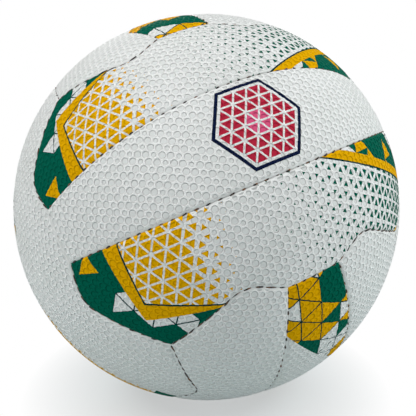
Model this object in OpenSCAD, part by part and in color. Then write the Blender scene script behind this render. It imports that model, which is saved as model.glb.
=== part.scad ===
// Ringball: a hand-stitched, air-filled ball of eighteen panels, in six faces of three parallel strips.
// Each face is turned a quarter against its neighbours, so the strip ends of one face butt against the
// long sides of the next. The ball lies as it was photographed, with its centre at the origin, front to -Y.

/* [Ball] */
// Girth of the inflated ball
ball_girth = 700; // [680:1:720]
// Thickness of the embossed cover sheet
cover_t = 2.4; // [1.8:0.1:3.2]
// Thickness of the cloth lining behind each panel
lining_t = 1.4; // [1.2:0.1:2.2]
// Wall of the rubber bladder
bladder_t = 1.2; // [0.8:0.1:2]
// Turn of the ball as it lies, about X, then Y, then Z
rest_turn = [60.6, -18.1, 22.8]; // [-180:0.1:180]

/* [Panels] */
// Width of a centre panel across its middle, along the surface
centre_w = 45.5; // [40:0.5:50]
// Length of a centre panel along its middle, along the surface
centre_l = 210.5; // [205:0.5:216]
// Way along the strip from the middle of the face to an outer panel's shoulder
shoulder_along = 113.3; // [111:0.1:116]
// Way across the strips from the middle of the face to an outer panel's shoulder
shoulder_across = 31; // [28:0.5:34]
// Radius of the rounded shoulder
shoulder_r = 14.5; // [8:0.5:16]
// Radius of a panel's rolled edge
edge_r = 1.2; // [0.6:0.1:1.6]

/* [Seams] */
// Thickness of the seam thread
thread_d = 1; // [0.6:0.1:1.1]
// Way that a lining stops short of the seam, to leave a channel for the thread
lining_setback = 0.9; // [0.8:0.1:1.4]
// Way that a thread stops short of a knot where three seams meet
knot_room = 1.2; // [0.8:0.1:2]

/* [Valve] */
// Hole for the valve in the cover and its lining
valve_hole_d = 7; // [6:0.1:9]
// Depth of the valve's mouth below the surface
mouth_sink = 0.8; // [0.4:0.1:1.2]
// Length of the valve stem
stem_l = 21; // [18:0.5:26]
// Diameter of the stem's barrel inside the bladder
barrel_d = 10; // [9:0.5:12]
// Diameter of the flange that is bonded to the bladder
flange_d = 24; // [18:1:30]
// Thickness of that flange
flange_t = 1.6; // [1:0.1:2.4]
// Diameter of the valve core
core_d = 4.6; // [4:0.1:5]
// Length of the valve core
core_l = 16; // [14:0.5:17]
// Diameter of the core's retaining collar
collar_d = 6.4; // [5.6:0.1:7]
// Height of that collar
collar_t = 1.6; // [1.2:0.1:2.4]
// Depth of the collar below the mouth
collar_depth = 10; // [9:0.5:11]
// Bore for the inflating needle
needle_bore_d = 2.4; // [2:0.1:2.6]
// Depth of the needle bore, down to the part of the core that seals
needle_bore_l = 8.5; // [7:0.5:12]
// Width of the funnel that leads the needle in
funnel_d = 3.6; // [3:0.1:3.8]
// Depth of that funnel
funnel_t = 0.8; // [0.4:0.1:1.2]

/* [Clearances] */
// Half the gap between the panels at a seam
seam_gap = 0.15; // [0.05:0.05:0.3]
// Glue film between a cover panel and its lining
glue_film = 0.1; // [0.05:0.05:0.3]
// Gap between the linings and the bladder
bladder_gap = 0.2; // [0.1:0.05:0.4]
// Gap between the stem's flange and the bladder
bond_gap = 0.1; // [0.05:0.05:0.3]
// Gap round the stem in its holes
stem_gap = 0.2; // [0.1:0.05:0.4]
// Gap round the core in the stem
core_gap = 0.1; // [0.05:0.05:0.2]

/* [Hidden] */
// Steps along a centre panel's long edge and its end, a rounded shoulder and a straight run of a strip's end
edge_steps = 18;
end_steps = 2;
shoulder_steps = 4;
run_steps = 4;

// Radii of the layers
ball_r = ball_girth / (2 * PI);
cover_in = ball_r - cover_t;
lining_out = cover_in - glue_film;
lining_in = lining_out - lining_t;
bladder_out = lining_in - bladder_gap;
bladder_in = bladder_out - bladder_t;
thread_at = (lining_out + lining_in) / 2;

// Cutters for the layers start on this plane inside the ball and end on this one outside it
cut_low = 0.3 * ball_r;
cut_high = 1.2 * ball_r;

// Height of the valve's mouth, and of the parts below it, from the centre of the ball
mouth_z = ball_r - mouth_sink;
collar_z = mouth_z - collar_depth;

cover_colour = "whitesmoke";
lining_colour = "tan";
rubber_colour = "dimgray";
thread_colour = "black";

faces = ["front", "back", "left", "right", "top", "bottom"];
// Names of each face's two outer strips
sides = [["upper", "lower"], ["upper", "lower"], ["front", "back"], ["front", "back"], ["right", "left"],
         ["right", "left"]];
function strip_names(i) = [for (name = concat("centre", sides[i])) str(faces[i], "_", name)];
strips = [for (i = [0:5]) each strip_names(i)];

// Directions from the centre of the ball, in a face whose strips run along X and whose middle is at Z
function unit(v) = v / norm(v);
function arc(mm) = mm / ball_r * 180 / PI;
function towards(along, across) = [cos(across) * sin(along), sin(across), cos(across) * cos(along)];
function across_x(p) = [-p.x, p.y, p.z];
function across_y(p) = [p.x, -p.y, p.z];
function reversed(list) = [for (i = [len(list) - 1:-1:0]) list[i]];
// The same direction in the next face, whose strips run along Z and whose middle is at Y
function next_face(p) = [p.y, p.z, p.x];

// Great-circle run from p to q in equal steps, without q
function run(p, q, steps) =
    let (angle = acos(p * q))
    [for (i = [0:steps - 1]) (sin(angle * (1 - i / steps)) * p + sin(angle * i / steps) * q) / sin(angle)];

// Corner p between two edges with inward normals n and m, once both edges move in by an angle
function inner_corner(p, n, m, angle) =
    let (k = sin(angle) / (1 + n * m), sum = n + m)
    k * sum + sqrt(1 - k * k * (sum * sum)) * p;

// Points of a strip's end: the centre panel's corner, the sharp shoulder and the corner of three faces
half_w = arc(centre_w / 2);
end_at = arc(centre_l / 2);
knee = towards(end_at, atan(tan(half_w) * cos(end_at)));
shoulder = towards(arc(shoulder_along), arc(shoulder_across));
three_faces = unit([1, 1, 1]);

// The shoulder's round is a small circle that touches both runs
round_a = arc(shoulder_r);
low_normal = unit(cross(knee, shoulder));
high_normal = unit(cross(shoulder, three_faces));
round_mid = inner_corner(shoulder, low_normal, high_normal, round_a);
round_start = unit(round_mid - sin(round_a) * low_normal);
round_end = unit(round_mid - sin(round_a) * high_normal);
function turn_about(axis, p, q) =
    let (a = p - axis * (axis * p), b = q - axis * (axis * q))
    acos(a * b / (norm(a) * norm(b)));
round_turn = turn_about(round_mid, round_start, round_end);
function round_at(angle) =
    let (hub = round_mid * cos(round_a), spoke = round_start - hub)
    hub + spoke * cos(angle) + cross(round_mid, spoke) * sin(angle);

// End of an outer panel from knee to corner, without the corner
function outer_end(steps) = concat(
    run(knee, round_start, max(1, steps / 2)),
    [for (i = [0:shoulder_steps - 1]) round_at(round_turn * i / shoulder_steps)],
    run(round_end, three_faces, steps));

// Outlines, anticlockwise from outside
function centre_outline(long_steps) = concat(
    run(across_y(across_x(knee)), across_y(knee), long_steps),
    run(across_y(knee), knee, end_steps),
    run(knee, across_x(knee), long_steps),
    run(across_x(knee), across_y(across_x(knee)), end_steps));
function outer_outline(long_steps, steps) =
    let (end = outer_end(steps), side = [for (p = end) next_face(p)])
    concat(run(across_x(knee), knee, long_steps), end, [three_faces],
           reversed([for (i = [1:len(side) - 1]) side[i]]), run(side[0], across_x(side[0]), end_steps),
           [for (p = side) across_x(p)], [across_x(three_faces)],
           reversed([for (i = [1:len(end) - 1]) across_x(end[i])]));

// Outline moved in by a length on the surface at each corner's own radius
function ring(outline, radii, inset) =
    let (n = len(outline), normals = [for (i = [0:n - 1]) unit(cross(outline[i], outline[(i + 1) % n]))])
    [for (i = [0:n - 1])
        radii[i] * inner_corner(outline[i], normals[(i + n - 1) % n], normals[i], asin(inset / radii[i]))];
function level(outline, r) = [for (p = outline) r];
function plane(outline, h) = [for (p = outline) h / p.z];

// Solid through a list of rings, closed by a fan at each end
module loft(rings, foot, tip) {
    n = len(rings[0]);
    last = len(rings) - 1;
    points = concat([foot], [for (r = rings) each r], [tip]);
    function at(j, i) = 1 + j * n + i % n;
    polyhedron(points, concat(
        [for (i = [0:n - 1]) [0, at(0, i), at(0, i + 1)]],
        [for (j = [0:last - 1], i = [0:n - 1]) each
            [[at(j, i), at(j + 1, i), at(j + 1, i + 1)], [at(j, i), at(j + 1, i + 1), at(j, i + 1)]]],
        [for (i = [0:n - 1]) [len(points) - 1, at(last, i + 1), at(last, i)]]));
}

module shell(outer, inner) {
    difference() {
        sphere(outer, $fn = 180);
        sphere(inner, $fn = 180);
    }
}

// Middle of an outline, from which every point of its edge is in sight
function heart(side) = side == 0 ? [0, 0, 1] : towards(0, 1.4 * half_w);

// Cover panel: straight walls at the seam, then a rolled edge in two slopes up to the surface
module cover_strip(side) {
    outline = side == 0 ? centre_outline(edge_steps) : outer_outline(edge_steps, run_steps);
    middle = heart(side);
    roll = edge_r * (1 - cos(45));
    // The upper slope runs on past the surface, so that the surface cuts it cleanly
    past = 1.6;
    top_inset = seam_gap + roll + (edge_r - roll) * past;
    intersection() {
        shell(ball_r, cover_in);
        loft([ring(outline, plane(outline, cut_low), seam_gap),
              ring(outline, level(outline, ball_r - edge_r), seam_gap),
              ring(outline, level(outline, ball_r - roll), seam_gap + roll),
              ring(outline, level(outline, ball_r - roll + roll * past), top_inset),
              ring(outline, plane(outline, cut_high), top_inset)],
             middle * cut_low, middle * cut_high);
    }
}

module lining_strip(side) {
    outline = side == 0 ? centre_outline(1) : outer_outline(1, 1);
    middle = heart(side);
    intersection() {
        shell(lining_out, lining_in);
        loft([ring(outline, plane(outline, cut_low), lining_setback),
              ring(outline, plane(outline, cut_high), lining_setback)],
             middle * cut_low, middle * cut_high);
    }
}

// Turn from the base face, whose strips run along X with its middle at Z, to one of the six faces
module on_face(face) {
    if (face == "front") children();
    if (face == "back") rotate([0, 180, 0]) children();
    if (face == "top") rotate(-120, [1, 1, 1]) children();
    if (face == "bottom") rotate([180, 0, 0]) rotate(-120, [1, 1, 1]) children();
    if (face == "right") rotate(120, [1, 1, 1]) children();
    if (face == "left") rotate([0, 0, 180]) rotate(120, [1, 1, 1]) children();
}

// Side 0 is a face's centre strip, and 1 and -1 are its outer strips
module placed(face, side) {
    rotate(rest_turn) on_face(face) rotate([0, 0, side < 0 ? 180 : 0]) children();
}

module valve_hole() {
    cylinder(d = valve_hole_d, h = cut_high, $fn = 64);
}

module panel(face, side) {
    color(cover_colour) placed(face, side) difference() {
        cover_strip(side);
        if (face == "back" && side == 0) valve_hole();
    }
}

module lining(face, side) {
    color(lining_colour) placed(face, side) difference() {
        lining_strip(side);
        if (face == "back" && side == 0) valve_hole();
    }
}

module bladder() {
    color(rubber_colour) placed("back", 0) difference() {
        shell(bladder_out, bladder_in);
        valve_hole();
    }
}

// The neck fills the holes up to the mouth, the flange lies against the bladder, the barrel hangs inside
module valve_stem() {
    neck_d = valve_hole_d - 2 * stem_gap;
    flange_out = bladder_in - bond_gap;
    flange_in = flange_out - flange_t;
    color(rubber_colour) placed("back", 0) difference() {
        union() {
            translate([0, 0, flange_in]) cylinder(d = neck_d, h = mouth_z - flange_in, $fn = 64);
            intersection() {
                shell(flange_out, flange_in);
                cylinder(d = flange_d, h = ball_r, $fn = 96);
            }
            translate([0, 0, mouth_z - stem_l])
                cylinder(d = barrel_d, h = flange_in - mouth_z + stem_l, $fn = 64);
        }
        translate([0, 0, mouth_z - core_l - core_gap])
            cylinder(d = core_d + 2 * core_gap, h = core_l + 1, $fn = 64);
        translate([0, 0, collar_z - collar_t / 2 - core_gap])
            cylinder(d = collar_d + 2 * core_gap, h = collar_t + 2 * core_gap, $fn = 64);
    }
}

// The core is closed at the bottom, where it seals itself when the needle is drawn out
module valve_core() {
    color(rubber_colour) placed("back", 0) difference() {
        union() {
            translate([0, 0, mouth_z - core_l]) cylinder(d = core_d, h = core_l, $fn = 64);
            translate([0, 0, collar_z - collar_t / 2]) cylinder(d = collar_d, h = collar_t, $fn = 64);
        }
        translate([0, 0, mouth_z - needle_bore_l])
            cylinder(d = needle_bore_d, h = needle_bore_l + 1, $fn = 64);
        translate([0, 0, mouth_z - funnel_t])
            cylinder(d1 = needle_bore_d, d2 = funnel_d, h = funnel_t, $fn = 64);
    }
}

// Thread along a circle of the surface about an axis, from p to q, short of each end by a length
module thread_run(axis, p, q, short_p, short_q) {
    hub = axis * (axis * p);
    x = unit(p - hub);
    y = cross(axis, x);
    run_r = thread_at * norm(p - hub);
    start = short_p / run_r * 180 / PI;
    sweep = turn_about(axis, p, q) - start - short_q / run_r * 180 / PI;
    multmatrix([[x.x, y.x, axis.x, hub.x * thread_at],
                [x.y, y.y, axis.y, hub.y * thread_at],
                [x.z, y.z, axis.z, hub.z * thread_at],
                [0, 0, 0, 1]])
        rotate([0, 0, start]) rotate_extrude(angle = sweep, $fn = 180)
            translate([run_r, 0]) circle(d = thread_d, $fn = 32);
}

module great_run(p, q, short_p, short_q) {
    thread_run(unit(cross(p, q)), p, q, short_p, short_q);
}

// Seams along both long edges of every centre panel
module strip_seam_thread() {
    color(thread_colour) for (face = faces, side = [1, -1])
        placed(face, side) great_run(across_x(knee), knee, knot_room, knot_room);
}

// Seams across both ends of every centre panel
module centre_end_thread() {
    color(thread_colour) for (face = faces, side = [1, -1])
        placed(face, side) great_run(across_y(knee), knee, knot_room, knot_room);
}

// Seams round the ends of the outer panels, which meet in threes at the corners of the faces
module outer_end_thread() {
    color(thread_colour) for (face = faces, side = [1, -1], flip = [0, 1])
        placed(face, side) mirror([flip, 0, 0]) {
            great_run(knee, round_start, knot_room, seam_gap);
            thread_run(round_mid, round_start, round_end, seam_gap, seam_gap);
            great_run(round_end, three_faces, seam_gap, knot_room);
        }
}

for (i = [0:5], j = [0:2]) {
    strip = strip_names(i)[j];
    side = [0, 1, -1][j];
    panel(faces[i], side);
    lining(faces[i], side);
}
bladder();
valve_stem();
valve_core();
strip_seam_thread();
centre_end_thread();
outer_end_thread();
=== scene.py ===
import functools
import math

import bpy
import numpy as np
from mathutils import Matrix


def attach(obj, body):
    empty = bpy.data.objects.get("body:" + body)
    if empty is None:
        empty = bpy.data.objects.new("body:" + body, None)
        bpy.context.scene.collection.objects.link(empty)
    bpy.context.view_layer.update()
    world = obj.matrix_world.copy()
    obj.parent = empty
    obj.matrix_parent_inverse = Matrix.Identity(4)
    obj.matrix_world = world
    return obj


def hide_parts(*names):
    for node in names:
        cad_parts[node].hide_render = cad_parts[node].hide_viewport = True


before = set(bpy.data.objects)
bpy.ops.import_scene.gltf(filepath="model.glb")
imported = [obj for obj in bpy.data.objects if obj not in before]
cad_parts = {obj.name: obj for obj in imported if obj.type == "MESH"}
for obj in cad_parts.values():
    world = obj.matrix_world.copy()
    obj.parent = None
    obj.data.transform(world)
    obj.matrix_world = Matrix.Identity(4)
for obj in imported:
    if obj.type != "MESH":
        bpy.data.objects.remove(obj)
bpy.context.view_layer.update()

# the ball's layout, in mm along its surface, as the solids have it
ball = {
    "girth": 700.0,
    "restTurn": (60.6, -18.1, 22.8),  # degrees about X, then Y, then Z
    "centreWidth": 45.5,
    "centreLength": 210.5,
    "shoulderAlong": 113.3,
    "shoulderAcross": 31.0,
    "shoulderRound": 14.5,
    "coverThick": 2.4,
    "seamStep": 0.2,  # between the points of a seam line
}
mm = 0.001
tiny = 1e-9  # keeps a division from 0
ballRadius = ball["girth"] / (2 * math.pi)
faceNames = ("front", "back", "left", "right", "top", "bottom")
sideNames = {"front": ("upper", "lower"), "back": ("upper", "lower"), "left": ("front", "back"),
             "right": ("front", "back"), "top": ("right", "left"), "bottom": ("right", "left")}


# each vector over its own length
def unit(v):
    return v / np.linalg.norm(v, axis=-1, keepdims=True)


# 0 below the low value, 1 above the high one, and 3t2 - 2t3 between them
def smooth(x, low, high):
    t = np.clip((x - low) / (high - low), 0, 1)
    return t * t * (3 - 2 * t)


# direction at two angles from a face's middle: along the strips, which run on X, and across them, on Y
def towards(along, across):
    level = math.cos(across)
    return np.array([level * math.sin(along), math.sin(across), level * math.cos(along)])


# mirrored in X
def mirrorX(p):
    return p * (-1, 1, 1)


# mirrored in Y
def mirrorY(p):
    return p * (1, -1, 1)


# carried to the next face, whose strips run on Z and whose middle is at Y: the coordinates change places
def nextFace(p):
    return p[..., [1, 2, 0]]


# great circle: both ends weighted by the sine of the angle to the other one
def greatRun(p, q):
    angle = math.acos(p @ q)
    t = np.linspace(0, 1, math.ceil(angle * ballRadius / ball["seamStep"]) + 1)[:, None]
    return (np.sin(angle * (1 - t)) * p + np.sin(angle * t) * q) / math.sin(angle)


# small circle: the spoke from its axis to p, turned about the axis in even parts until it meets q
def roundRun(axis, p, q):
    hub = axis * (axis @ p)
    spoke = p - hub
    turn = math.acos(spoke @ (q - hub) / (spoke @ spoke))
    count = math.ceil(turn * np.linalg.norm(spoke) * ballRadius / ball["seamStep"])
    t = np.linspace(0, turn, count + 1)[:, None]
    return hub + np.cos(t) * spoke + np.sin(t) * np.cross(axis, spoke)


# lines end to end, without the doubled points
def joined(*runs):
    return np.concatenate([runs[0]] + [run[1:] for run in runs[1:]])


# way along a line to each of its points: the sum of the chords so far, in mm
def waysOf(run):
    return ballRadius * np.concatenate([[0], np.cumsum(np.linalg.norm(np.diff(run, axis=0), axis=1))])


# points at given parts of a line's whole length
def atParts(run, parts):
    way = waysOf(run)
    return unit(np.stack([np.interp(parts * way[-1], way, run[:, k]) for k in range(3)], -1))


# the seams of one face: a strip's long edge, the centre strip's end, and an outer strip's shouldered end
endAt, halfWidth = ball["centreLength"] / 2 / ballRadius, ball["centreWidth"] / 2 / ballRadius
knee = towards(endAt, math.atan(math.tan(halfWidth) * math.cos(endAt)))
shoulder = towards(ball["shoulderAlong"] / ballRadius, ball["shoulderAcross"] / ballRadius)
threeFaces = unit(np.ones(3))
lowSide, highSide = unit(np.cross(knee, shoulder)), unit(np.cross(shoulder, threeFaces))
roundSine = math.sin(ball["shoulderRound"] / ballRadius)
roundMid = (lowSide + highSide) * roundSine / (1 + lowSide @ highSide)  # as far inside one run as the other
roundMid = roundMid + math.sqrt(1 - roundMid @ roundMid) * shoulder
roundStart, roundEnd = unit(roundMid - roundSine * lowSide), unit(roundMid - roundSine * highSide)
stripSeam = greatRun(mirrorX(knee), knee)
centreEndSeam = greatRun(mirrorY(knee), knee)
outerEndSeam = joined(greatRun(knee, roundStart), roundRun(roundMid, roundStart, roundEnd),
                      greatRun(roundEnd, threeFaces))


# turn about one axis: the other two coordinates mixed by sine and cosine
def turnAbout(axis, degrees):
    c, s = math.cos(math.radians(degrees)), math.sin(math.radians(degrees))
    turn = np.eye(3)
    a, b = (axis + 1) % 3, (axis + 2) % 3
    turn[a, a], turn[a, b], turn[b, a], turn[b, b] = c, -s, s, c
    return turn


# from the base face to one of the six, to one side of it, and to the way the ball lies
def placeOf(face, side):
    toTop = np.eye(3)[[1, 2, 0]]
    toRight = np.eye(3)[[2, 0, 1]]
    faceTurn = {"front": np.eye(3), "back": turnAbout(1, 180), "top": toTop, "right": toRight,
                "bottom": turnAbout(0, 180) @ toTop, "left": turnAbout(2, 180) @ toRight}[face]
    rx, ry, rz = ball["restTurn"]
    rest = turnAbout(2, rz) @ turnAbout(1, ry) @ turnAbout(0, rx)
    return rest @ faceTurn @ (turnAbout(2, 180) if side < 0 else np.eye(3))


# a mesh from whole arrays: points in mm, arrays of faces with the same number of corners, maps by corner,
# numbers by point, and where they are given, the normals that its points are shaded by
def putMesh(name, points, faces, maps=None, numbers=None, normals=None):
    mesh = bpy.data.meshes.new(name)
    corners = np.concatenate([f.ravel() for f in faces]).astype(np.int32)
    sizes = np.concatenate([np.full(len(f), f.shape[1]) for f in faces])
    mesh.vertices.add(len(points))
    mesh.vertices.foreach_set("co", (points * mm).astype(np.float32).ravel())
    mesh.loops.add(len(corners))
    mesh.loops.foreach_set("vertex_index", corners)
    mesh.polygons.add(len(sizes))
    mesh.polygons.foreach_set("loop_start", (np.cumsum(sizes) - sizes).astype(np.int32))
    mesh.polygons.foreach_set("use_smooth", np.ones(len(sizes), bool))
    for mapName, values in (maps or {}).items():
        layer = mesh.uv_layers.new(name=mapName, do_init=False)
        layer.uv.foreach_set("vector", values.astype(np.float32).ravel())
    for numberName, values in (numbers or {}).items():
        layer = mesh.attributes.new(numberName, "FLOAT", "POINT")
        layer.data.foreach_set("value", values.astype(np.float32))
    mesh.update(calc_edges=True)
    if normals is not None:
        mesh.normals_split_custom_set_from_vertices(normals.astype(np.float32))
    piece = bpy.data.objects.new(name, mesh)
    bpy.context.scene.collection.objects.link(piece)
    return piece


# the four corners of every cell of a grid of point numbers
def gridQuads(index):
    return np.stack([index[:-1, :-1], index[1:, :-1], index[1:, 1:], index[:-1, 1:]], -1)


# the stitches that show in the seams, and the thread that runs behind them; lengths in mm
stitches = {
    "pitch": 5.2,
    "lengths": {"strip_seam_thread": 1.75, "centre_end_thread": 1.6, "outer_end_thread": 4.5},
    "profileAlong": (-0.9, -1.0, -0.8, 0.0, 0.8, 1.0, 0.9),  # in half lengths
    "profileDrop": (0.75, 0.2, 0.0, 0.2, 0.75),  # below its middle; both ends go to the running thread
    "thick": 0.75,
    "sink": 0.74,  # of a stitch's middle below the surface
    "tight": {("centre_end_thread", "front", -1): 0.6,  # seams drawn tighter, and how much deeper they lie
              ("strip_seam_thread", "left", 1): 0.6},
    "threadDepth": 3.2,  # of the running thread's middle below the surface
    "threadStep": 3.0,
    "threadEnds": 0.01,  # of a seam, left free at each end
    "sides": 6,
    "slant": 9.0,  # degrees across the seam
    "unevenTurn": 9.0,  # degrees either way
    "unevenLength": 0.3,  # of it, either way
    "unevenSink": (-0.21, 0.35),
    "seed": 11,
}


# whole stitches in a seam of a given length
def stitchCount(length):
    return max(1, round(length / stitches["pitch"]))


# the cover panels; lengths in mm
panels = {
    "step": 0.53,  # between the points of a panel's grid
    "crowd": 0.7,  # how much shorter the first step at an edge is
    "crowdReach": 3.0,  # steps over which that wears off
    "innerRows": 6,
    "gap": 0.02,  # half the open seam
    "gapReach": 4.0,  # over which the grid gives way to it
    "rollWidth": 2.0,
    "rollDepth": 0.75,
    "rollBend": 0.86,  # sine of the roll's arc, under 1 so that the two edges meet in an open crease
    "sagDepth": 0.2,  # of the panel beside a seam
    "sagReach": 5.0,
    "puckerDepth": 0.16,  # at each stitch
    "puckerReach": 1.7,
    "outerTilt": 24.0,  # degrees from the face's middle to the middle line of an outer strip
    "dimplePitch": 3.5,
    "dimpleTurn": 1.5,  # degrees against the strip
    "wideDimple": 3.45,  # diameters, two wide ones to each small one
    "smallDimple": 2.55,
    "dimpleDepth": 0.18,
    "dimpleWall": 0.5,
    "dimpleDraw": 0.6,  # how near the middle of a dimple's wall the grid is drawn to its rims
    "dimpleFrom": 0.7,  # from the edge, where the embossing begins and where it is full
    "dimpleFull": 1.7,
    "valveHole": 7.0,
    "valveOpen": (0.85, 1.7),  # where the grid is opened to the hole and where it is left alone, in its radii
    "valveRoll": 0.8,
    "valvePlain": 1.6,  # plain rim round the hole
}


# steps of a grid from edge to edge: even, but shorter by an exponential towards both ends
def crowded(count):
    k = np.arange(count)
    fall = np.exp(-k / panels["crowdReach"])
    return 1 - panels["crowd"] * (fall + fall[::-1])


# the steps added up, over their sum
def partsOf(steps):
    return np.concatenate([[0], np.cumsum(steps)]) / steps.sum()


# Coons patch in the plane that touches the face's middle: bottom to top, plus left to right, less the flat
# patch through the four corners; each point is then pushed back to the sphere
def patchOf(bottom, top, left, right, along, up):
    bottom, top, left, right = (run[:, :2] / run[:, 2:] for run in (bottom, top, left, right))
    s, t = along[:, None, None], up[None, :, None]
    flat = (1 - t) * bottom[:, None] + t * top[:, None] + (1 - s) * left[None] + s * right[None]
    flat = flat - (1 - t) * ((1 - s) * bottom[0] + s * bottom[-1]) - t * ((1 - s) * top[0] + s * top[-1])
    return unit(np.concatenate([flat, np.ones(flat.shape[:2] + (1,))], -1))


# centre strip between its two long seams and its two ends
def centreGrid():
    columns = round(ball["centreLength"] / panels["step"] / 2) * 2
    rows = round(ball["centreWidth"] / panels["step"] / 2) * 2
    along, up = partsOf(crowded(columns)), partsOf(crowded(rows))
    top, right = atParts(stripSeam, along), atParts(centreEndSeam, up)
    outline = (mirrorY(stripSeam), centreEndSeam, stripSeam[::-1], mirrorX(centreEndSeam)[::-1])
    return patchOf(mirrorY(top), top, mirrorX(right), right, along, up), outline, along, up


# outer strip: a long seam below, shouldered ends, and above it two shoulders and a strip's end of the
# next face
def outerGrid():
    shoulderSide, endSide = nextFace(outerEndSeam), nextFace(centreEndSeam)
    columns = round(waysOf(stripSeam)[-1] / panels["step"])
    rows = round(waysOf(outerEndSeam)[-1] / panels["step"])
    steps = crowded(columns)
    along, up = partsOf(steps), partsOf(crowded(rows))
    sideLength, middleLength = waysOf(shoulderSide)[-1], waysOf(endSide)[-1]
    n = round(columns * sideLength / (2 * sideLength + middleLength))
    top = joined(atParts(mirrorX(shoulderSide)[::-1], partsOf(steps[:n])),
                 atParts(endSide, partsOf(steps[n:-n])),
                 atParts(shoulderSide, partsOf(steps[-n:])))
    right = atParts(outerEndSeam, up)
    outline = (stripSeam, outerEndSeam, shoulderSide[::-1], endSide[::-1], mirrorX(shoulderSide),
               mirrorX(outerEndSeam)[::-1])
    return patchOf(atParts(stripSeam, along), top, mirrorX(right), right, along, up), outline, along, up


# a panel's seam line, anticlockwise: its points, the ways onward and inward at each, the stitches counted so
# far, and how many there are to a mm
def seamLine(outline):
    points = np.concatenate([run[:-1] for run in outline])
    ahead = unit(np.roll(points, -1, 0) - np.roll(points, 1, 0))
    counts, rates = [], []
    for run in outline:
        way = waysOf(run)
        rates.append(np.full(len(way) - 1, stitchCount(way[-1]) / way[-1]))
        counts.append(way[:-1] * rates[-1])
    return {"points": points, "ahead": ahead, "inward": unit(np.cross(points, ahead)),
            "count": np.concatenate(counts), "rate": np.concatenate(rates)}


# the flat sheet that a panel is cut from: longitude and latitude about the panel's own middle line, in mm
def toSheet(p, tilt):
    c, s = math.cos(tilt), math.sin(tilt)
    along = np.arctan2(p[:, 0], p[:, 2] * c + p[:, 1] * s)
    return ballRadius * np.stack([along, np.arcsin(p[:, 1] * c - p[:, 2] * s)], -1)


# back from the sheet: the direction at a longitude and latitude, tilted with the panel's middle line
def fromSheet(sheet, tilt):
    c, s = math.cos(tilt), math.sin(tilt)
    along, across = (sheet / ballRadius).T
    y, z = np.sin(across), np.cos(across) * np.cos(along)
    return np.stack([np.cos(across) * np.sin(along), y * c + z * s, z * c - y * s], -1)


# the dimples' lattice, with rows at 30, 90 and 150 degrees: cosine and sine of its turn, the pitch in a
# column, and how far on and how far up the next column starts
def dimpleLattice():
    turn, pitch = math.radians(panels["dimpleTurn"]), panels["dimplePitch"]
    return math.cos(turn), math.sin(turn), pitch, pitch * math.sqrt(3) / 2, pitch / 2


# the nearest dimple, its middle and radius: of the two columns that a point is between, the nearest one of
# each is tried, and every third one in a row is small
def dimpleNear(sheet):
    c, s, pitch, column, rise = dimpleLattice()
    u, v = sheet[:, 0] * c - sheet[:, 1] * s, sheet[:, 0] * s + sheet[:, 1] * c
    first = np.floor(u / column)
    found = np.full(len(sheet), np.inf)
    middle, radius = np.zeros_like(sheet), np.zeros(len(sheet))
    for k in (0, 1):
        i = first + k
        j = np.round((v - i * rise) / pitch)
        x, y = i * column, i * rise + j * pitch
        far = np.hypot(u - x, v - y)
        small = np.mod(i - j, 3) == 0
        nearer = far < found
        found = np.where(nearer, far, found)
        radius = np.where(nearer, np.where(small, panels["smallDimple"], panels["wideDimple"]) / 2, radius)
        middle = np.where(nearer[:, None], np.stack([x * c + y * s, y * c - x * s], -1), middle)
    return middle, radius


# how far the plain sheet lies below the sphere at directions p, and how far from its edge they are: an
# ellipse's arc at the edge, a sag beside the seam that dies away, a pucker at every stitch, and a small roll
# round the valve's hole
def plainDrop(p, line, near, tilt, valve):
    off = (p - line["points"][near]) * ballRadius
    edge = np.maximum(np.abs(np.sum(off * line["inward"][near], 1)) - panels["gap"], 0)
    count = line["count"][near] + np.sum(off * line["ahead"][near], 1) * line["rate"][near]
    bend = panels["rollBend"]
    roll = 1 - np.sqrt(1 - (bend * np.clip(1 - edge / panels["rollWidth"], 0, 1)) ** 2)
    roll = panels["rollDepth"] * roll / (1 - math.sqrt(1 - bend ** 2))
    sag = panels["sagDepth"] * np.exp(-edge / panels["sagReach"])
    pucker = panels["puckerDepth"] * (0.5 - 0.5 * np.cos(2 * math.pi * count))
    pucker = pucker * np.exp(-(edge / panels["puckerReach"]) ** 2)
    drop = roll + sag + pucker
    if valve:
        past = np.hypot(*toSheet(p, tilt).T) - panels["valveHole"] / 2
        ring = np.clip(1 - past / panels["valveRoll"], 0, 1)
        drop = drop + panels["valveRoll"] * (1 - np.sqrt(1 - ring ** 2))
        edge = np.minimum(edge, past - panels["valvePlain"] + panels["dimpleFrom"])
    return drop, edge


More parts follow.
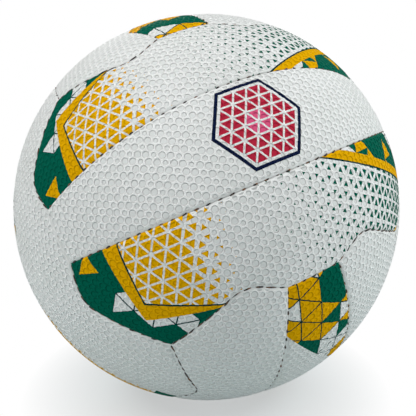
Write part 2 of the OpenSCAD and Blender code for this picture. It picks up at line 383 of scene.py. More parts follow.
# a panel's outside: the plain sheet less the dimples. The grid's points are drawn to the rims of the dimples,
# and are shaded by the plain sheet's normal: the way out, plus the slope of the drop in two directions
def shapePanel(grid, outline, tilt, valve):
    line = seamLine(outline)
    p = grid.reshape(-1, 3)
    lots = np.array_split(p, 16)  # to spare memory
    near = np.concatenate([np.argmax(lot @ line["points"].T, axis=1) for lot in lots])
    inward = line["inward"][near]
    edge = np.abs(np.sum((p - line["points"][near]) * inward, 1)) * ballRadius
    give = panels["gap"] * np.clip(1 - edge / panels["gapReach"], 0, 1)
    sheet = toSheet(unit(p + inward * (give / ballRadius)[:, None]), tilt)
    if valve:  # the grid's lines round the middle are opened to the hole
        hole = panels["valveHole"] / 2
        out = np.maximum(np.hypot(*sheet.T), tiny)
        t = smooth(np.abs(sheet).max(1), hole * panels["valveOpen"][0], hole * panels["valveOpen"][1])
        sheet = sheet * (t + (1 - t) * hole / out)[:, None]

    edge = plainDrop(fromSheet(sheet, tilt), line, near, tilt, valve)[1]
    bossed = smooth(edge, panels["dimpleFrom"], panels["dimpleFull"])
    middle, radius = dimpleNear(sheet)
    wall = panels["dimpleWall"]
    out = np.maximum(np.hypot(*(sheet - middle).T), tiny)
    off = np.abs(out - radius + wall / 2)
    drawn = np.where(off < panels["dimpleDraw"],
                     wall / 2 + np.maximum(off - wall / 2, 0) ** 2 / (panels["dimpleDraw"] - wall / 2), off)
    drawn = radius - wall / 2 + np.sign(out - radius + wall / 2) * drawn
    drawn = out + (drawn - out) * bossed
    sheet = middle + (sheet - middle) * (drawn / out)[:, None]

    up = fromSheet(sheet, tilt)
    drop, edge = plainDrop(up, line, near, tilt, valve)
    bossed = smooth(edge, panels["dimpleFrom"], panels["dimpleFull"])
    pit = smooth(radius - drawn, 0, wall) * bossed
    sideA = unit(np.cross((0, 1, 0), up))
    normals = up.copy()
    reach = 0.1  # mm either way
    for side in (sideA, np.cross(up, sideA)):
        step = side * (reach / ballRadius)
        ahead, behind = (plainDrop(up + way * step, line, near, tilt, valve)[0] for way in (1, -1))
        normals = normals + side * ((ahead - behind) / (2 * reach))[:, None]
    return {"out": up, "height": ballRadius - drop - panels["dimpleDepth"] * pit, "normals": unit(normals),
            "sheet": sheet, "edge": np.maximum(edge, 0)}


# triangles between a fine chain and a coarse one below it: each fine step to the coarse point at or before
# it, and each coarse step to the fine point above its end
def wallBetween(fine, coarse, picks):
    step = np.arange(len(fine) - 1)
    before = np.searchsorted(picks, step, "right") - 1
    return np.concatenate([np.stack([fine[1:], fine[:-1], coarse[before]], -1),
                           np.stack([fine[picks[1:]], coarse[:-1], coarse[1:]], -1)])


# each part of a panel's own room on the unit square of its bake map
bakeRoom = {
    "outside": (0.3, 0.99),  # heights, from and to
    "inside": (0.02, 0.18),
    "walls": 0.2,  # the first wall's foot, the step to the next one, and a wall's height
    "wallStep": 0.018,
    "wallHeight": 0.012,
    "margin": 0.01,
}


# a closed panel: its outside grid, an inside grid with fewer rows, walls between them, and the valve's wall
def closePanel(shape, along, up, valve):
    columns, rows = len(along) - 1, len(up) - 1
    innerRows = rows if valve else panels["innerRows"]
    picks = np.round(np.linspace(0, rows, innerRows + 1)).astype(int)
    outer = np.arange((columns + 1) * (rows + 1)).reshape(columns + 1, rows + 1)
    inner = outer.size + np.arange((columns + 1) * len(picks)).reshape(columns + 1, len(picks))
    innerAt = outer[:, picks].ravel()
    points = np.concatenate([shape["out"] * shape["height"][:, None],
                             shape["out"][innerAt] * (ballRadius - ball["coverThick"])])
    s, t = (x.ravel() for x in np.meshgrid(along, up, indexing="ij"))
    outside, inside = (np.stack([s, foot + (head - foot) * t], -1)
                       for foot, head in (bakeRoom["outside"], bakeRoom["inside"]))
    bake = np.concatenate([outside, inside[innerAt]])
    keepOuter = np.ones((columns, rows), bool)
    chains = [(outer[:, 0], inner[:, 0], np.arange(columns + 1)), (outer[-1], inner[-1], picks),
              (outer[::-1, -1], inner[::-1, -1], np.arange(columns + 1)),
              (outer[0, ::-1], inner[0, ::-1], rows - picks[::-1])]
    if valve:
        half = panels["valveHole"] / 2 * panels["valveOpen"][0]
        hole = np.abs(shape["flatSheet"]).max(1).reshape(outer.shape) < half
        i, j = np.where(hole.any(1))[0], np.where(hole.any(0))[0]
        keepOuter[i[0]:i[-1], j[0]:j[-1]] = False
        loops = [np.concatenate([index[i[0]:i[-1], j[0]], index[i[-1], j[0]:j[-1]],
                                 index[i[-1]:i[0]:-1, j[-1]], index[i[0], j[-1]:j[0]:-1],
                                 index[i[0], j[0]:j[0] + 1]])[::-1]
                 for index in (outer, inner)]
        chains.append((loops[0], loops[1], np.arange(len(loops[0]))))
    keepInner = keepOuter if valve else np.ones((columns, innerRows), bool)
    faces = [gridQuads(outer)[keepOuter], gridQuads(inner)[keepInner][:, ::-1]]
    bakes = [bake[f] for f in faces]
    for k, (fine, coarse, chainPicks) in enumerate(chains):
        foot = bakeRoom["walls"] + bakeRoom["wallStep"] * k
        head = foot + bakeRoom["wallHeight"]
        part = np.zeros((len(points), 2))
        part[fine] = np.stack([np.linspace(0, 1, len(fine)), np.full(len(fine), foot)], -1)
        part[coarse] = np.stack([chainPicks / (len(fine) - 1), np.full(len(coarse), head)], -1)
        faces.append(wallBetween(fine, coarse, chainPicks))
        bakes.append(part[faces[-1]])
    sheet = np.concatenate([shape["sheet"], shape["sheet"][innerAt]])
    normals = np.concatenate([shape["normals"], -shape["out"][innerAt]])
    edge = np.concatenate([shape["edge"], np.zeros(len(innerAt))])

    used = np.zeros(len(points), bool)  # points that the hole leaves without a face go
    for f in faces:
        used[f] = True
    renumber = np.cumsum(used) - 1
    bake = np.concatenate([b.reshape(-1, 2) for b in bakes])
    bake = bakeRoom["margin"] + (1 - 2 * bakeRoom["margin"]) * bake
    return {"points": points[used], "faces": [renumber[f] for f in faces], "normals": normals[used],
            "sheet": sheet[used], "edge": edge[used], "bake": bake}


# both kinds of panel, and the one with the hole
def makePanelShapes():
    shapes = {}
    for kind, gridOf, tilt, valve in (("centre", centreGrid, 0.0, False), ("valve", centreGrid, 0.0, True),
                                      ("outer", outerGrid, math.radians(panels["outerTilt"]), False)):
        grid, outline, along, up = gridOf()
        shape = shapePanel(grid, outline, tilt, valve)
        shape["flatSheet"] = toSheet(grid.reshape(-1, 3), tilt)
        shapes[kind] = closePanel(shape, along, up, valve)
        shapes[kind]["middle"] = tilt * ballRadius
        print("panel shape %s: %d by %d" % (kind, len(along), len(up)))
    return shapes


# how the sheet's print lies on a face's centre strip, where it isn't plainly (1, 0, 0): its way round, its
# shift along in mm, and the lot that its patches are drawn from
printLay = {"left": (-1, 0, 2), "bottom": (-1, 0, 0), "top": (1, 6, 26), "right": (1, 0, 3)}


# the eighteen panels: each kind of shape turned to its places, with the print's map laid on it
def makePanels():
    shapes = makePanelShapes()
    made = {}
    for face in faceNames:
        for side, strip in zip((0, 1, -1), ("centre",) + sideNames[face]):
            kind = "outer" if side else "valve" if face == "back" else "centre"
            shape = shapes[kind]
            way, shift, lot = printLay.get(face, (1, 0, 0)) if side == 0 else (side, 0, 0)
            sheet = shape["sheet"] * (way, 1) + (shift, shape["middle"])
            corners = np.concatenate([f.ravel() for f in shape["faces"]])
            turn = placeOf(face, side).T
            name = "%s_%s_panel" % (face, strip)
            maps = {"OFBake": shape["bake"], "print": sheet[corners], "emboss": shape["sheet"][corners]}
            numbers = {"edge": shape["edge"], "lot": np.full(len(shape["edge"]), lot)}
            piece = putMesh(name + "_cover", shape["points"] @ turn, shape["faces"], maps, numbers,
                            shape["normals"] @ turn)
            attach(piece, "root")
            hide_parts(name)
            made[face, strip] = piece
    print("panels: %d" % len(made))
    return made


# a round profile along a path: rings across each point's own two sides, all of them as one array
def tubeRings(path, sideA, sideB, radius, sides):
    a = np.linspace(0, 2 * math.pi, sides, endpoint=False)[:, None]
    return path[..., None, :] + radius * (np.cos(a) * sideA[..., None, :] + np.sin(a) * sideB[..., None, :])


# faces of many like tubes: quads from ring to ring, and a cap on each end
def tubeFaces(tubes, rings, sides):
    index = np.arange(tubes * rings * sides).reshape(tubes, rings, sides)
    turned = np.roll(index, -1, 2)
    quads = np.stack([index[:, :-1], turned[:, :-1], turned[:, 1:], index[:, 1:]], -1).reshape(-1, 4)
    return quads, index[:, 0, ::-1], index[:, -1]


# stitches of a seam: each rises from the running thread, lies along the seam just under the surface and
# goes down
def stitchPoints(run, rng, length, tight):
    count = stitchCount(waysOf(run)[-1])
    parts = (np.arange(count) + 0.5) / count
    up = atParts(run, parts)
    reach = 0.002  # of the seam, either way
    ahead = unit(atParts(run, parts + reach) - atParts(run, parts - reach))
    turn = np.radians(stitches["slant"] + stitches["unevenTurn"] * rng.uniform(-1, 1, (count, 1)))
    ahead = unit(ahead + np.tan(turn) * np.cross(up, ahead))
    beside = np.cross(up, ahead)
    half = length / 2 * (1 + stitches["unevenLength"] * rng.uniform(-1, 1, (count, 1, 1)))
    sink = stitches["sink"] + tight + rng.uniform(*stitches["unevenSink"], (count, 1, 1))
    x = np.array(stitches["profileAlong"])[None, :, None] * half
    y = np.full(x.shape, stitches["threadDepth"])
    y[:, 1:-1] = np.array(stitches["profileDrop"])[None, :, None] + sink
    path = (ballRadius - y) * up[:, None] + x * ahead[:, None]
    onward = unit(np.gradient(path, axis=1))
    across = np.broadcast_to(beside[:, None], path.shape)
    return tubeRings(path, np.cross(across, onward), across, stitches["thick"] / 2, stitches["sides"])


# the running thread behind a seam, at an even depth
def threadPoints(run):
    count = max(2, round(waysOf(run)[-1] / stitches["threadStep"]))
    up = atParts(run, np.linspace(stitches["threadEnds"], 1 - stitches["threadEnds"], count))
    onward = unit(np.gradient(up, axis=0))
    path = (ballRadius - stitches["threadDepth"]) * up
    return tubeRings(path, up, np.cross(onward, up), stitches["thick"] / 2, stitches["sides"])[None]


# one piece for each group of seams: the stitches and the running thread of both its sides on all six faces
def makeStitches():
    rng = np.random.default_rng(stitches["seed"])
    made = []
    for node, runs in (("strip_seam_thread", [stripSeam]), ("centre_end_thread", [centreEndSeam]),
                       ("outer_end_thread", [outerEndSeam, mirrorX(outerEndSeam)])):
        points, faces, total, count = [], {4: [], stitches["sides"]: []}, 0, 0  # faces by their corners
        for face in faceNames:
            for side in (1, -1):
                place = placeOf(face, side)
                for run in runs:
                    tight = stitches["tight"].get((node, face, side), 0)
                    sewn = stitchPoints(run, rng, stitches["lengths"][node], tight)
                    count += len(sewn)
                    for rings in (sewn, threadPoints(run)):
                        for group in tubeFaces(*rings.shape[:3]):
                            faces[group.shape[1]].append(group + total)
                        points.append(rings.reshape(-1, 3) @ place.T)
                        total += len(points[-1])
        piece = putMesh(node.replace("thread", "stitches"), np.concatenate(points),
                        [np.concatenate(f) for f in faces.values()])
        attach(piece, "root")
        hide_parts(node)
        made.append(piece)
        print("stitches %s: %d" % (piece.name, count))
    return made


# an operator that adds a Math node, and its form with a number on the left
def mathPair(operation):
    return (lambda self, other: self.math(operation, self, other),
            lambda self, other: self.math(operation, other, self))


# a node's output that takes arithmetic
class Wire:
    def __init__(self, tree, socket=None):
        self.tree, self.socket = tree, socket

    # any node: its settings, then a value or a wire for each input
    def node(self, kind, settings=None, inputs=None, out=0):
        made = self.tree.nodes.new(kind)
        for name, value in (settings or {}).items():
            setattr(made, name, value)
        for name, value in (inputs or {}).items():
            if isinstance(value, Wire):
                self.tree.links.new(value.socket, made.inputs[name])
            else:
                made.inputs[name].default_value = value
        return Wire(self.tree, made.outputs[out] if made.outputs else None)

    def math(self, operation, *values):
        return self.node("ShaderNodeMath", {"operation": operation}, dict(enumerate(values)))

    __add__, __radd__ = mathPair("ADD")
    __sub__, __rsub__ = mathPair("SUBTRACT")
    __mul__, __rmul__ = mathPair("MULTIPLY")
    __truediv__, __rtruediv__ = mathPair("DIVIDE")
    __lt__, __gt__ = mathPair("LESS_THAN")

    def floor(self):
        return self.math("FLOOR", self)

    def fract(self):
        return self.math("FRACT", self)

    def size(self):
        return self.math("ABSOLUTE", self)

    def least(self, *others):
        return functools.reduce(lambda a, b: self.math("MINIMUM", a, b), others, self)

    def most(self, *others):
        return functools.reduce(lambda a, b: self.math("MAXIMUM", a, b), others, self)

    # 0 to 1 between two values, straight
    def run(self, low, high, easing="LINEAR"):
        return self.node("ShaderNodeMapRange", {"interpolation_type": easing},
                         {"Value": self, "From Min": low, "From Max": high})

    # the same, eased
    def rise(self, low, high):
        return self.run(low, high, "SMOOTHSTEP")

    # colour under and colour over, by this wire
    def over(self, under, colour):
        return self.node("ShaderNodeMix", {"data_type": "RGBA"}, {0: self, 6: under, 7: colour}, 2)


# a colour from 0 to 255 as it looks on a screen, to the linear numbers that shaders take
def tone(*levels):
    parts = [x / 255 for x in levels]
    return tuple(x / 12.92 if x <= 0.04045 else ((x + 0.055) / 1.055) ** 2.4 for x in parts) + (1.0,)


# an empty material, a wire to start its nodes from, and the place on the piece that its patterns lie by
def startMaterial(name):
    material = bpy.data.materials.new(name)
    material.use_nodes = True
    material.node_tree.nodes.clear()
    start = Wire(material.node_tree)
    return material, start, start.node("ShaderNodeTexCoord", {}, {}, "Object")


# the material's last node
def endMaterial(start, shader):
    start.node("ShaderNodeOutputMaterial", {}, {"Surface": shader})


# the inks, and what all prints share; lengths in mm
ink = {
    "gold": tone(226, 168, 2),
    "green": tone(0, 90, 72),
    "line": tone(0, 55, 55),
    "goldNet": (7.0, -5.0),  # side of the triangles, and turn in degrees
    "joint": 0.45,  # least half gap between two triangles
    "lineWidth": 0.6,
}


# a net of triangles: the distance to each of three sets of lines, counted in rows; the three fractions sum
# to 1 in one half of the triangles and to 2 in the other, and the least of them, or what the greatest lacks
# to 1, is the way in from the triangle's nearest side
def triangleNet(along, across, side, degrees, starts=(0.0, 0.0)):
    row = side * math.sqrt(3) / 2
    rows = []
    for k, start in enumerate(starts + (-sum(starts),)):
        a = math.radians(degrees + 90 + 120 * k)
        rows.append(along * (math.cos(a) / row) + across * (math.sin(a) / row) + start)
    parts = [r.fract() for r in rows]
    half = (parts[0] + parts[1] + parts[2]) > 1.5
    low = parts[0].least(parts[1], parts[2])
    high = 1 - parts[0].most(parts[1], parts[2])
    return {"rows": rows, "half": half, "way": (low + half * (high - low)) * row, "row": row}


# one number from 0 to 1 for each cell of a net
def chance(first, second, third):
    spot = first.node("ShaderNodeCombineXYZ", {}, {0: first, 1: second, 2: third})
    return first.node("ShaderNodeTexWhiteNoise", {"noise_dimensions": "3D"}, {"Vector": spot})


# honeycomb on a net: each triangle has one corner whose first two row numbers differ by a multiple of 3, and
# the six triangles round such a corner are one cell; they pair off into three lozenges, numbered 0 to 2
def honeycomb(net):
    i, j = net["rows"][0].floor(), net["rows"][1].floor()
    rest = i.math("FLOORED_MODULO", i - j, 3.0)
    both = (rest < 0.5) * net["half"]
    lozenge = i.math("FLOORED_MODULO", rest + net["half"] * (1 - rest * 2), 3.0)
    return i + (rest > 1.5) + both, j + (rest > 0.5) * (rest < 1.5) + both, lozenge


# triangles whose way in from the sides shrinks evenly from where they are full to where they are gone;
# a triangle's middle is a third of a row from its sides
def fadingTriangles(net, where, full, gone):
    return net["way"] > where.run(full, gone) * (net["row"] / 3 - ink["joint"]) + ink["joint"]


# thin lines along the sides of the triangles, on the patches that have them
def patchLines(net, patches):
    return (net["way"] < ink["lineWidth"] / 2) * patches


# how far a point is past a straight edge: parts of its ways along and across, and a start, added up
def pastEdge(along, across, edge):
    return along * edge[0] + across * edge[1] + edge[2]


# the print of the outer strips; lengths in mm. A net may also have the starts of its first two sets of
# lines, in rows, and an edge has its parts of along and across, and its start
outerPrint = {
    "goldWay": (1.0, 0.06, 0.0),  # the way that the fade is counted
    "goldFade": (-49.0, -26.0),  # full and gone
    "greenNet": (6.6, 28.0),
    "greenWay": (1.0, -0.05, 0.0),
    "greenFade": (72.0, -26.0),
    "bendInner": ((-1.0, 0.11, -80.8), (-0.288, 0.96, -75.696)),  # the bent band's edges, each in two runs
    "bendOuter": ((-1.0, 0.23, -91.9), (-0.085, 1.0, -70.545)),
    "slant": (0.441, -0.9, 11.52),  # of the slanted band
    "slantWidth": 4.6,
    "bandLine": 0.78,  # along the inner edge of both bands
    "patchNet": (11.0, 4.0, (0.3, 0.4)),
    "whiteShare": 0.24,  # of the patchwork's lozenges
    "goldShare": 0.1,
    "seed": 50.0,
}


# lozenges of two triangles: some white with a line across, some half gold, the rest plain green
def lozengePatch(white, net):
    i, j, lozenge = honeycomb(net)
    drawn = chance(i, j, lozenge + outerPrint["seed"])
    isWhite = drawn < outerPrint["whiteShare"]
    isGold = (drawn > 1 - outerPrint["goldShare"]) * net["half"]
    colour = isGold.over(isWhite.over(ink["green"], white), ink["gold"])
    return patchLines(net, isWhite).over(colour, ink["line"])


# a fading gold net at one end inside a bent band, a fading green net at the other below a slanted band, and
# patchwork outside both bands
def printOuter(along, across, white):
    gold, green, patch = (triangleNet(along, across, *net)
                          for net in (ink["goldNet"], outerPrint["greenNet"], outerPrint["patchNet"]))
    goldWay, greenWay, slant = (pastEdge(along, across, outerPrint[edge])
                                for edge in ("goldWay", "greenWay", "slant"))
    colour = fadingTriangles(gold, goldWay, *outerPrint["goldFade"]).over(white, ink["gold"])
    colour = fadingTriangles(green, greenWay, *outerPrint["greenFade"]).over(colour, ink["green"])
    inner, outer = (pastEdge(along, across, first).most(pastEdge(along, across, second))
                    for first, second in (outerPrint["bendInner"], outerPrint["bendOuter"]))
    inner, outer = inner.most(slant), outer.most(slant - outerPrint["slantWidth"])
    colour = (inner > 0).over(colour, ink["gold"])
    colour = (outer > 0).over(colour, lozengePatch(white, patch))
    line = (inner > -outerPrint["bandLine"]) * (inner < 0)
    return line.over(colour, ink["line"])


# the print of the centre strips, with nets and edges as above; lengths in mm
centrePrint = {
    "goldFront": ((1.0, 0.0, 16.0), (0.0, 2.2, -33.0)),  # of the block, with a white margin along one edge
    "goldFade": (-15.0, 4.0),  # full and gone, from the front
    "goldSolid": -16.0,
    "greenAlong": -93.0,  # the green block is where both ways are less
    "greenAcross": 16.0,
    "patchNet": (12.6, 2.0, (0.2, 0.1)),
    "patchEdge": (0.55, 0.835, -28.8),
    "goldShare": 0.42,  # of the patchwork's cells
    "whiteShare": 0.2,
    "oddInGold": 0.14,  # of the triangles in a gold cell, of those in a white one, and white ones anywhere
    "oddInWhite": 0.2,
    "oddWhite": 0.1,
    "seed": 278.0,
}


# honeycomb cells: gold or white triangles with lines between them, or plain green, with odd triangles in all
def cellPatch(white, net):
    i, j = honeycomb(net)[:2]
    seed = i.node("ShaderNodeAttribute", {"attribute_name": "lot"}, {}, "Fac") + centrePrint["seed"]
    cell = chance(i, j, seed)
    odd = chance(net["rows"][0].floor(), net["rows"][1].floor(), net["half"] + seed)
    isGold = (cell < centrePrint["goldShare"]) * (odd < 1 - centrePrint["oddInGold"])
    isWhite = (cell > 1 - centrePrint["whiteShare"]) * (odd > centrePrint["oddInWhite"])
    isWhite = isWhite.most(odd > 1 - centrePrint["oddWhite"])
    colour = isWhite.over(isGold.over(ink["green"], ink["gold"]), white)
    return patchLines(net, isGold.most(isWhite)).over(colour, ink["line"])


# patchwork up to a slanted edge at one end, and at the other a gold block with a fading net round it and a
# green block
def printCentre(along, across, white):
    gold, patch = (triangleNet(along, across, *net) for net in (ink["goldNet"], centrePrint["patchNet"]))
    patched = pastEdge(along, across, centrePrint["patchEdge"]) > 0
    colour = patched.over(white, cellPatch(white, patch))
    first, second = (pastEdge(along, across, edge) for edge in centrePrint["goldFront"])
    front = first.most(second)
    isGold = fadingTriangles(gold, front, *centrePrint["goldFade"]).most(front < centrePrint["goldSolid"])
    isGreen = (along < centrePrint["greenAlong"]) * (across < centrePrint["greenAcross"])
    return isGreen.over(isGold.over(colour, ink["gold"]), ink["green"])


# the mark in the middle of the front; lengths in mm
mark = {
    "crimson": tone(181, 40, 63),
    "pink": tone(219, 85, 127),
    "navy": tone(18, 28, 58),
    "net": (6.4, 0.0),  # side of its triangles, and turn in degrees
    "lift": 1.0,  # above the strip's middle line
    "rows": 3,  # of triangles from the middle out, and how many of them are pink
    "pinkRows": 1,
    "line": (0.9, 2.4),  # round it, from the triangles outwards
}


# a hexagon of triangles, in which all three counts of rows stay under a number, with a line round it
def printMark(along, across, white):
    net = triangleNet(along, across - mark["lift"], *mark["net"])
    out = net["rows"][0].size().most(net["rows"][1].size(), net["rows"][2].size())
    filled = net["way"] > ink["joint"]
    colour = ((out < mark["rows"]) * filled).over(white, mark["crimson"])
    colour = ((out < mark["pinkRows"]) * filled).over(colour, mark["pink"])
    lineIn, lineOut = (mark["rows"] + way / net["row"] for way in mark["line"])
    return ((out > lineIn) * (out < lineOut)).over(colour, mark["navy"])


# the embossed cover sheet; lengths in mm
cover = {
    "white": tone(224, 225, 224),
    "whiteLow": tone(219, 221, 219),
    "mottle": 22.0,
    "mottleFrom": (0.3, 0.7),  # levels of the clouds between which it comes in
    "whiteRim": tone(255, 255, 254),  # painted highlight on the ridges between the dimples
    "rimHighlightShare": 0.65,
    "rimFrom": (-1.0, -0.4),  # where the painted highlight on the ridge begins and ends, in walls of a dimple from its rim
    "rimTo": (0.0, 0.6),
    "pitShade": tone(196, 203, 203),
    "pitShare": 0.15,  # of that painted shade on the floors of the dimples
    "pitTo": (-1.2, -0.6),  # where the floor ends, in walls too
    "seamDirt": tone(79, 70, 64),
    "dirtReach": 0.5,  # from the edge
    "dirtPatch": 70.0,
    "dirtFrom": (0.48, 0.72),  # levels of the clouds
    "dirtLeast": 0.04,
    "dirtMore": 0.5,  # in the patches
    "grain": 0.35,
    "grainHeight": 0.008,
    "embossHeight": 0.74,
    "rough": 0.5,
    "roughPit": 0.1,
    "roughMottle": 0.15,
    "shine": 0.006,
}


# both ways on one of a panel's flat maps
def flatMap(start, name):
    flat = start.node("ShaderNodeUVMap", {"uv_map": name})
    return [start.node("ShaderNodeSeparateXYZ", {}, {0: flat}, k) for k in (0, 1)]


# a dimple's depth, from 0 at its rim to 1 at the foot of its wall, then how much a point is on its floor and
# on the ridge round it; the nearest dimple is found as for the mesh
def embossing(start):
    x, y = flatMap(start, "emboss")
    c, s, pitch, column, rise = dimpleLattice()
    u, v = x * c - y * s, x * s + y * c
    first = (u / column).floor()
    wideRadius, smallLess = panels["wideDimple"] / 2, (panels["wideDimple"] - panels["smallDimple"]) / 2
    rims = []
    for k in (0, 1):
        i = first + k
        j = ((v - i * rise) / pitch + 0.5).floor()
        small = start.math("FLOORED_MODULO", i - j, 3.0) < 0.5
        far = start.node("ShaderNodeCombineXYZ", {}, {0: u - i * column, 1: v - i * rise - j * pitch})
        far = start.node("ShaderNodeVectorMath", {"operation": "LENGTH"}, {0: far}, "Value")
        rims.append(far - wideRadius + small * smallLess)
    rim = rims[0].least(rims[1]) / panels["dimpleWall"]
    ridge = rim.rise(*cover["rimFrom"]) * (1 - rim.rise(*cover["rimTo"]))
    return 1 - rim.rise(-1.0, 0.0), 1 - rim.rise(*cover["pitTo"]), ridge


# soft clouds, so many to the metre
def clouds(spot, perMetre, detail):
    return spot.node("ShaderNodeTexNoise", {}, {"Vector": spot, "Scale": perMetre, "Detail": detail})


# the shader that all finishes end in: a colour, a roughness, and a relief with its height in mm
def endFinish(start, colour, rough, relief, height, strength, shine=0.5):
    bump = start.node("ShaderNodeBump", {}, {"Height": relief, "Strength": strength, "Distance": height * mm})
    endMaterial(start, start.node("ShaderNodeBsdfPrincipled", {}, {
        "Base Color": colour, "Roughness": rough, "Normal": bump, "Specular IOR Level": shine}))


# white or printed sheet: faint mottle, a painted highlight on the ridges, painted shade in the dimples, dirt
# in the seams and fine grain
def coverMaterial(name, printed):
    material, start, spot = startMaterial(name)
    along, across = flatMap(start, "print")
    edge = start.node("ShaderNodeAttribute", {"attribute_name": "edge"}, {}, "Fac")
    bossed = edge.rise(panels["dimpleFrom"], panels["dimpleFull"])
    pit, pitFloor, ridge = (part * bossed for part in embossing(start))
    mottle = clouds(spot, 1000 / cover["mottle"], 4.0)
    grain = clouds(spot, 1000 / cover["grain"], 2.0)
    patch = clouds(spot, 1000 / cover["dirtPatch"], 3.0)
    white = mottle.rise(*cover["mottleFrom"]).over(cover["white"], cover["whiteLow"])
    # painted highlight: the colour is whitened on the ridges round the dimples
    white = (ridge * cover["rimHighlightShare"]).over(white, cover["whiteRim"])
    colour = printed(along, across, white) if printed else white
    # painted shade: the colour is darkened on the floors of the dimples
    colour = start.node("ShaderNodeMix", {"data_type": "RGBA", "blend_type": "MULTIPLY"},
                        {0: pitFloor * cover["pitShare"], 6: colour, 7: cover["pitShade"]}, 2)
    dirt = cover["dirtLeast"] + patch.rise(*cover["dirtFrom"]) * cover["dirtMore"]
    colour = ((1 - edge.rise(0.0, cover["dirtReach"])) * dirt).over(colour, cover["seamDirt"])
    rough = cover["rough"] + pit * cover["roughPit"] + (mottle - 0.5) * cover["roughMottle"]
    relief = grain * cover["grainHeight"] - pit * cover["embossHeight"]
    endFinish(start, colour, rough, relief, 1.0, 1.0, cover["shine"])
    return material


# the sewing thread; counts to the metre, height in mm
thread = {
    "waxed": tone(22, 19, 17),
    "rubbed": tone(116, 78, 46),
    "strands": 700.0,
    "strandWander": 2.0,
    "strandShare": 0.4,  # of the brown that shows on the strands' backs only
    "strandHeight": 0.1,
    "rubs": 650.0,
    "rubFrom": (0.5, 0.66),
    "rough": 0.75,
    "roughStrand": -0.15,
    "relief": 0.5,
}


# waxed thread: twisted strands, dark where the wax holds dirt and brown where it is rubbed off
def threadMaterial():
    material, start, spot = startMaterial("waxed_thread")
    strand = start.node("ShaderNodeTexWave", {"bands_direction": "DIAGONAL"}, {
        "Vector": spot, "Scale": thread["strands"], "Distortion": thread["strandWander"], "Detail": 1.0})
    rubbed = clouds(spot, thread["rubs"], 1.0).rise(*thread["rubFrom"])
    rubbed = rubbed * (1 - thread["strandShare"] + strand * thread["strandShare"])
    rough = thread["rough"] + strand * thread["roughStrand"]
    colour = rubbed.over(thread["waxed"], thread["rubbed"])
    endFinish(start, colour, rough, strand, thread["strandHeight"], thread["relief"])
    return material


# the cloth behind the panels; counts to the metre, height in mm
cloth = {
    "low": tone(150, 138, 116),
    "high": tone(214, 204, 184),
    "yarns": 320.0,
    "yarnWander": 1.0,
    "yarnHeight": 0.15,
    "blotches": 60.0,
    "blotchShare": 0.3,
    "rough": 0.85,
    "roughBlotch": 0.1,
    "relief": 0.6,
}


# woven lining: two waves at right angles, over and under
def liningMaterial():
    material, start, spot = startMaterial("lining_cloth")
    warp, weft = (start.node("ShaderNodeTexWave", {"bands_direction": way}, {
        "Vector": spot, "Scale": cloth["yarns"], "Distortion": cloth["yarnWander"]}) for way in "XY")
    weave = warp.most(weft)
    blotch = clouds(spot, cloth["blotches"], 3.0)
    high = weave * (1 - cloth["blotchShare"]) + blotch * cloth["blotchShare"]
    rough = cloth["rough"] + blotch * cloth["roughBlotch"]
    colour = high.over(cloth["low"], cloth["high"])
    endFinish(start, colour, rough, weave, cloth["yarnHeight"], cloth["relief"])
    return material


# bladder, stem and core: each one's dark and pale tone and roughness; counts to the metre, height in mm
rubber = {
    "finishes": {"bladder": ("bladder_rubber", tone(34, 34, 36), tone(52, 52, 54), 0.6),
                 "valve_stem": ("stem_rubber", tone(30, 30, 32), tone(44, 44, 46), 0.55),
                 "valve_core": ("core_rubber", tone(92, 84, 76), tone(120, 110, 100), 0.6)},
    "clouds": 180.0,
    "cloudFrom": (0.3, 0.7),
    "grain": 3500.0,
    "grainHeight": 0.03,
    "roughCloud": 0.2,
    "relief": 0.5,
}


# rubber: a cloudy colour with a fine moulded grain
def rubberMaterial(name, dark, pale, rough):
    material, start, spot = startMaterial(name)
    cloud = clouds(spot, rubber["clouds"], 4.0)
    grain = clouds(spot, rubber["grain"], 2.0)
    colour = cloud.rise(*rubber["cloudFrom"]).over(dark, pale)
    rough = rough + (cloud - 0.5) * rubber["roughCloud"]
    endFinish(start, colour, rough, grain, rubber["grainHeight"], rubber["relief"])
    return material


# one material on a piece, in place of what it had
def wear(piece, material):
    piece.data.materials.clear()
    piece.data.materials.append(material)


# which face's strips carry which print
def dressBall(panelPieces, stitchPieces):
    plain = coverMaterial("cover_plain", None)
    marked = coverMaterial("cover_marked", printMark)
    outer = coverMaterial("cover_outer_print", printOuter)
    centre = coverMaterial("cover_centre_print", printCentre)
    for (face, strip), piece in panelPieces.items():
        if face in ("front", "back"):
            wear(piece, outer if strip != "centre" else marked if face == "front" else plain)
        else:
            wear(piece, centre if strip == "centre" else plain)
    waxed = threadMaterial()
    for piece in stitchPieces:
        wear(piece, waxed)
    lining = liningMaterial()
    rubbers = {name: rubberMaterial(*finish) for name, finish in rubber["finishes"].items()}
    for name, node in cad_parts.items():
        if name in rubbers:
            wear(node, rubbers[name])
        elif name.endswith("_lining"):
            wear(node, lining)
    print("materials: %d" % len(bpy.data.materials))


# camera, from the photograph's silhouette
camera = {
    "distance": 0.3082,  # metres from the ball's middle
    "elevation": 10.0,  # degrees
    "lens": 43.14,  # mm
    "shift": (0.0036, -0.0024),
    "clip": (0.01, 50.0),  # metres
}


# the eye is at the front, raised on a circle round the ball's middle, which it looks at
def makeCamera():
    data = bpy.data.cameras.new("camera")
    data.lens = camera["lens"]
    data.shift_x, data.shift_y = camera["shift"]
    data.clip_start, data.clip_end = camera["clip"]
    eye = bpy.data.objects.new("camera", data)
    rise = math.radians(camera["elevation"])
    eye.location = (0, -camera["distance"] * math.cos(rise), camera["distance"] * math.sin(rise))
    eye.rotation_euler = (math.pi / 2 - rise, 0, 0)
    bpy.context.scene.collection.objects.link(eye)
    bpy.context.scene.camera = eye
    print("camera: %.1f mm lens, %.3f m away" % (camera["lens"], camera["distance"]))


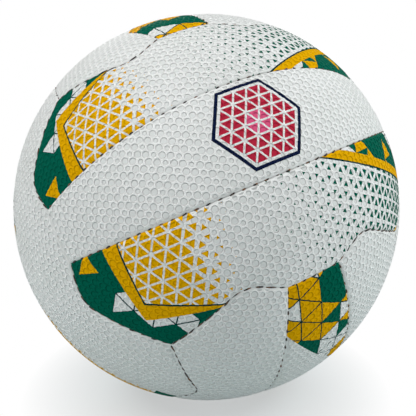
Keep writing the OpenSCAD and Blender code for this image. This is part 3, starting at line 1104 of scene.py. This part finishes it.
# studio: a pale floor and soft lamps; places in metres, powers in watts
studio = {
    "floorSize": 6.0,
    "floorLines": 13,  # each way
    "floorTone": tone(166, 183, 184),
    "ground": (1.0, 1.0, 1.0, 1.0),
    "sky": (0.78, 1.0, 1.0, 1.0),
    "skyStrength": 0.056,
    "whiteFrom": 0.12,  # from the ball's middle, where the floor goes over into the white ground
    "whiteFull": 0.16,
    "whiteLeast": 0.5,  # of it that already shows at the ball's foot, so that its shadow is light
    "lamps": (("above", (0.1, -0.1, 1.35), 6.1), ("top_left", (-0.85, -0.35, 0.95), 5.3),
              ("top_right", (0.85, -0.35, 0.95), 6.1), ("left", (-1.25, -0.3, 0.2), 5.0),
              ("right", (1.3, 0.1, 0.1), 6.3), ("front", (0.0, -1.25, 0.25), 3.7),
              ("low_right", (0.9, -0.9, 0.0), 1.5), ("back", (-0.3, 1.3, 0.5), 9.0)),
    "lampSize": 0.5,
    "tints": {"front": (1.0, 0.95, 0.95), "left": (1.0, 0.96, 0.95), "low_right": (1.0, 0.95, 0.95),
              "above": (0.96, 1.0, 1.0), "right": (0.95, 1.0, 1.0)},
}


# what a camera, a mirror or a clear thing sees is white ground, and all else gets the plain light
def seenDirectly(start):
    eye, mirror, glass = (start.node("ShaderNodeLightPath", {}, {}, "Is %s Ray" % way)
                          for way in ("Camera", "Glossy", "Transmission"))
    return eye.most(mirror, glass)


# the world's light, the floor and the lamps
def makeStudio():
    world = bpy.data.worlds.new("studio")
    bpy.context.scene.world = world
    world.use_nodes = True
    world.node_tree.nodes.clear()
    start = Wire(world.node_tree)
    sky = start.node("ShaderNodeBackground", {}, {"Color": studio["sky"], "Strength": studio["skyStrength"]})
    ground = start.node("ShaderNodeBackground", {}, {"Color": studio["ground"], "Strength": 1.0})
    both = start.node("ShaderNodeMixShader", {}, {0: seenDirectly(start), 1: sky, 2: ground})
    start.node("ShaderNodeOutputWorld", {}, {"Surface": both})

    half = studio["floorSize"] / 2 / mm
    lines = np.linspace(-half, half, studio["floorLines"])
    x, y = np.meshgrid(lines, lines, indexing="ij")
    points = np.stack([x.ravel(), y.ravel(), np.full(x.size, -ballRadius)], -1)
    floor = putMesh("floor", points, [gridQuads(np.arange(x.size).reshape(x.shape)).reshape(-1, 4)])
    material, start, spot = startMaterial("pale_floor")
    far = start.node("ShaderNodeVectorMath", {"operation": "LENGTH"}, {0: spot}, "Value")
    paper = start.node("ShaderNodeBsdfDiffuse", {}, {"Color": studio["floorTone"]})
    ground = start.node("ShaderNodeEmission", {}, {"Color": studio["ground"], "Strength": 1.0})
    least = studio["whiteLeast"]
    white = far.run(studio["whiteFrom"], studio["whiteFull"]) * (1 - least) + least
    white = white * seenDirectly(start)
    endMaterial(start, start.node("ShaderNodeMixShader", {}, {0: white, 1: paper, 2: ground}))
    wear(floor, material)

    for name, place, power in studio["lamps"]:
        data = bpy.data.lights.new(name, "AREA")
        data.shape, data.size, data.energy = "DISK", studio["lampSize"], power
        data.color = studio["tints"].get(name, (1.0, 1.0, 1.0))
        lamp = bpy.data.objects.new(name, data)
        lamp.location = place
        out = unit(np.array(place))  # a lamp shines down its own -Z, so that axis points at the ball
        lamp.rotation_euler = (math.acos(out[2]), 0, math.atan2(out[0], -out[1]))
        bpy.context.scene.collection.objects.link(lamp)
    bpy.context.scene.view_settings.view_transform = "Standard"
    print("studio: %d lamps" % len(studio["lamps"]))


dressBall(makePanels(), makeStitches())
makeCamera()
makeStudio()
